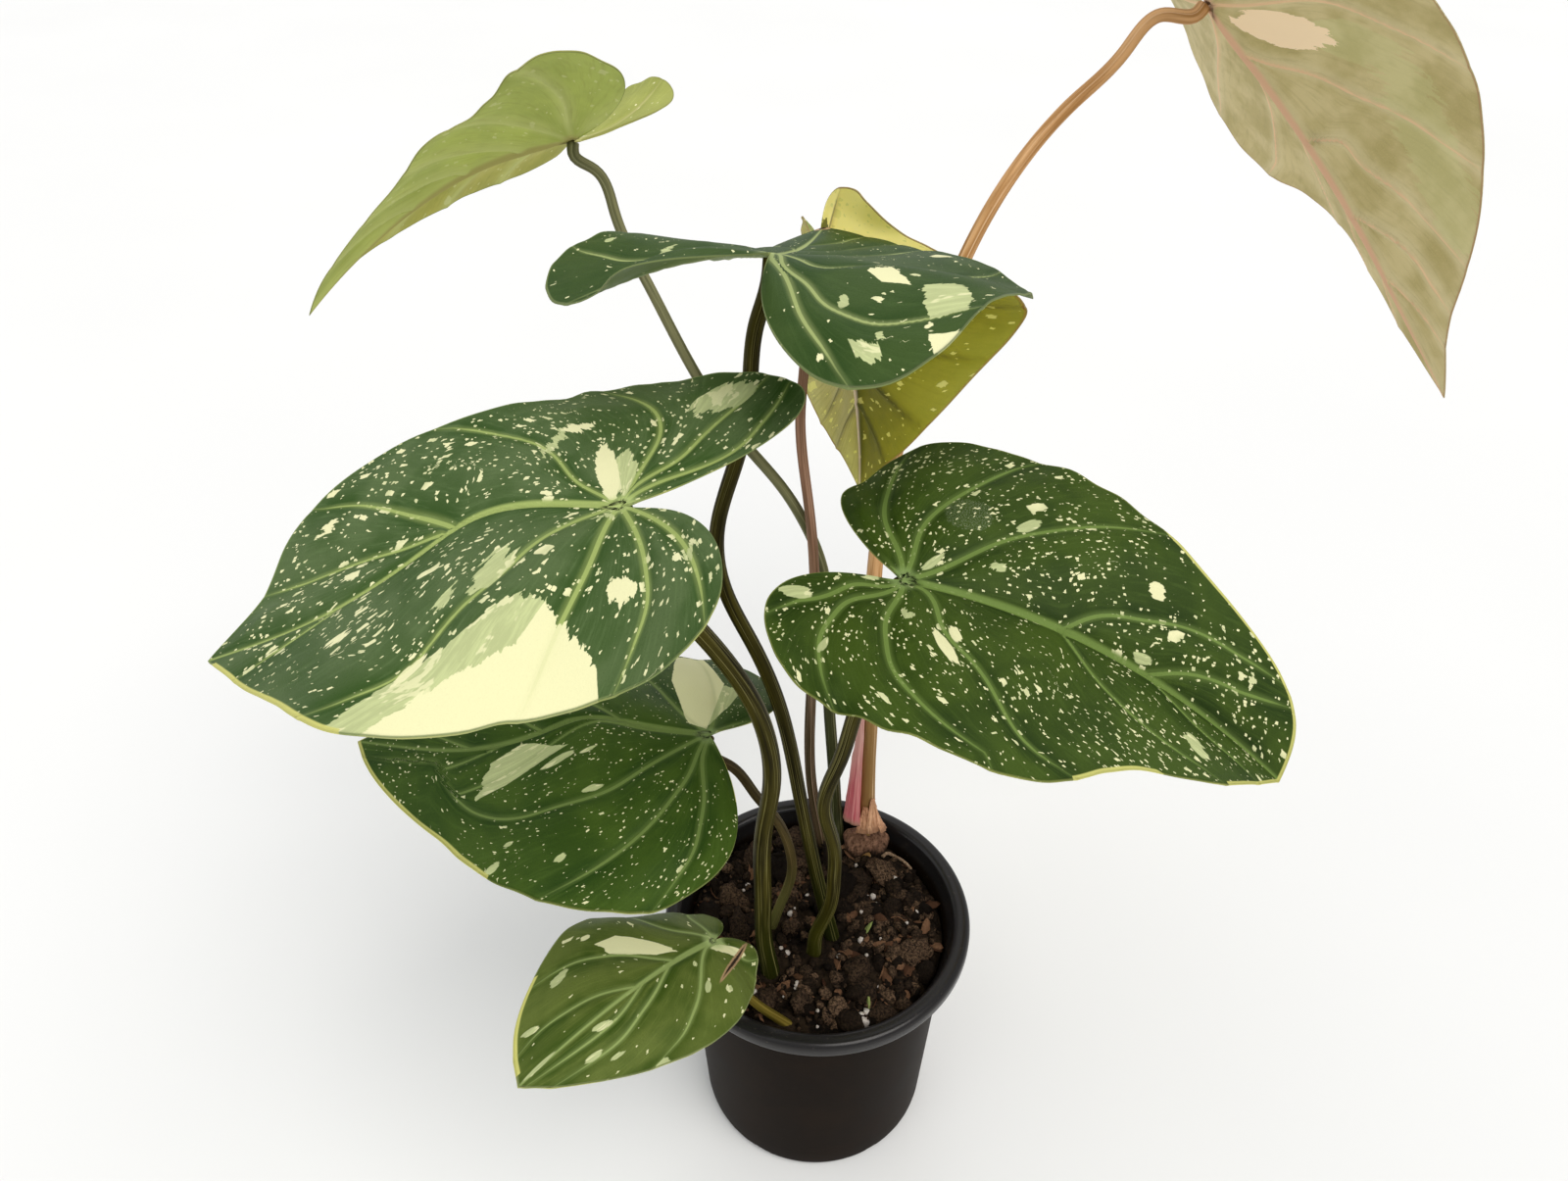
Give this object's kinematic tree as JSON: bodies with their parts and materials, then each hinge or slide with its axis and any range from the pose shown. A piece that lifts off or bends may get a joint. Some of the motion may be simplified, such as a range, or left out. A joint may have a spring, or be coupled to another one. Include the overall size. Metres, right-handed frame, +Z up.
{
  "type": "potted plant",
  "caption": "Potted variegated foliage plant: heart-shaped veined leaves on long stalks, in a round black plastic nursery pot with soil.",
  "frame": {"origin": "centre of the pot's underside, on the surface that it stands on", "axes": "+Z up, and the plant is seen from -Y, with the largest patched leaf to the left at -X"},
  "size_m": [0.38, 0.3505, 0.4012],
  "materials": {
    "pot": "satin black moulded plastic",
    "soil": "dry dark potting mix with bark and pale perlite",
    "crown": "dry brown bark-like skin",
    "sheath": "pink papery sheath",
    "blade_grey_green": "soft satin leaf, cream and sage variegation, pale veins",
    "blade_deep_green": "satin deep green leaf, cream specks, yellow margin",
    "blade_olive": "thin young olive-yellow leaf",
    "blade_lime": "matte lime green underside",
    "blade_beige": "matte beige-olive underside with pink veins",
    "stalk_dark": "dark olive stalk with fine pale stripes",
    "stalk_pink": "pink-brown stalk",
    "stalk_tan": "tan-orange stalk"
  },
  "bodies": {
    "root": {"pot": "pot", "soil": "soil", "crown": "crown", "sheath": "sheath", "dried_root": "crown", "blade_front_left": "blade_grey_green", "blade_front_right": "blade_deep_green", "blade_top_middle": "blade_grey_green", "blade_young_hanging": "blade_olive", "blade_back_left": "blade_lime", "blade_back_right": "blade_beige", "blade_low_left": "blade_deep_green", "blade_small_low": "blade_deep_green", "stalk_front_left": "stalk_dark", "stalk_front_right": "stalk_dark", "stalk_top_middle": "stalk_dark", "stalk_young_hanging": "stalk_pink", "stalk_back_left": "stalk_dark", "stalk_back_right": "stalk_tan", "stalk_low_left": "stalk_dark", "stalk_small_low": "stalk_dark"}
  },
  "joints": []
}
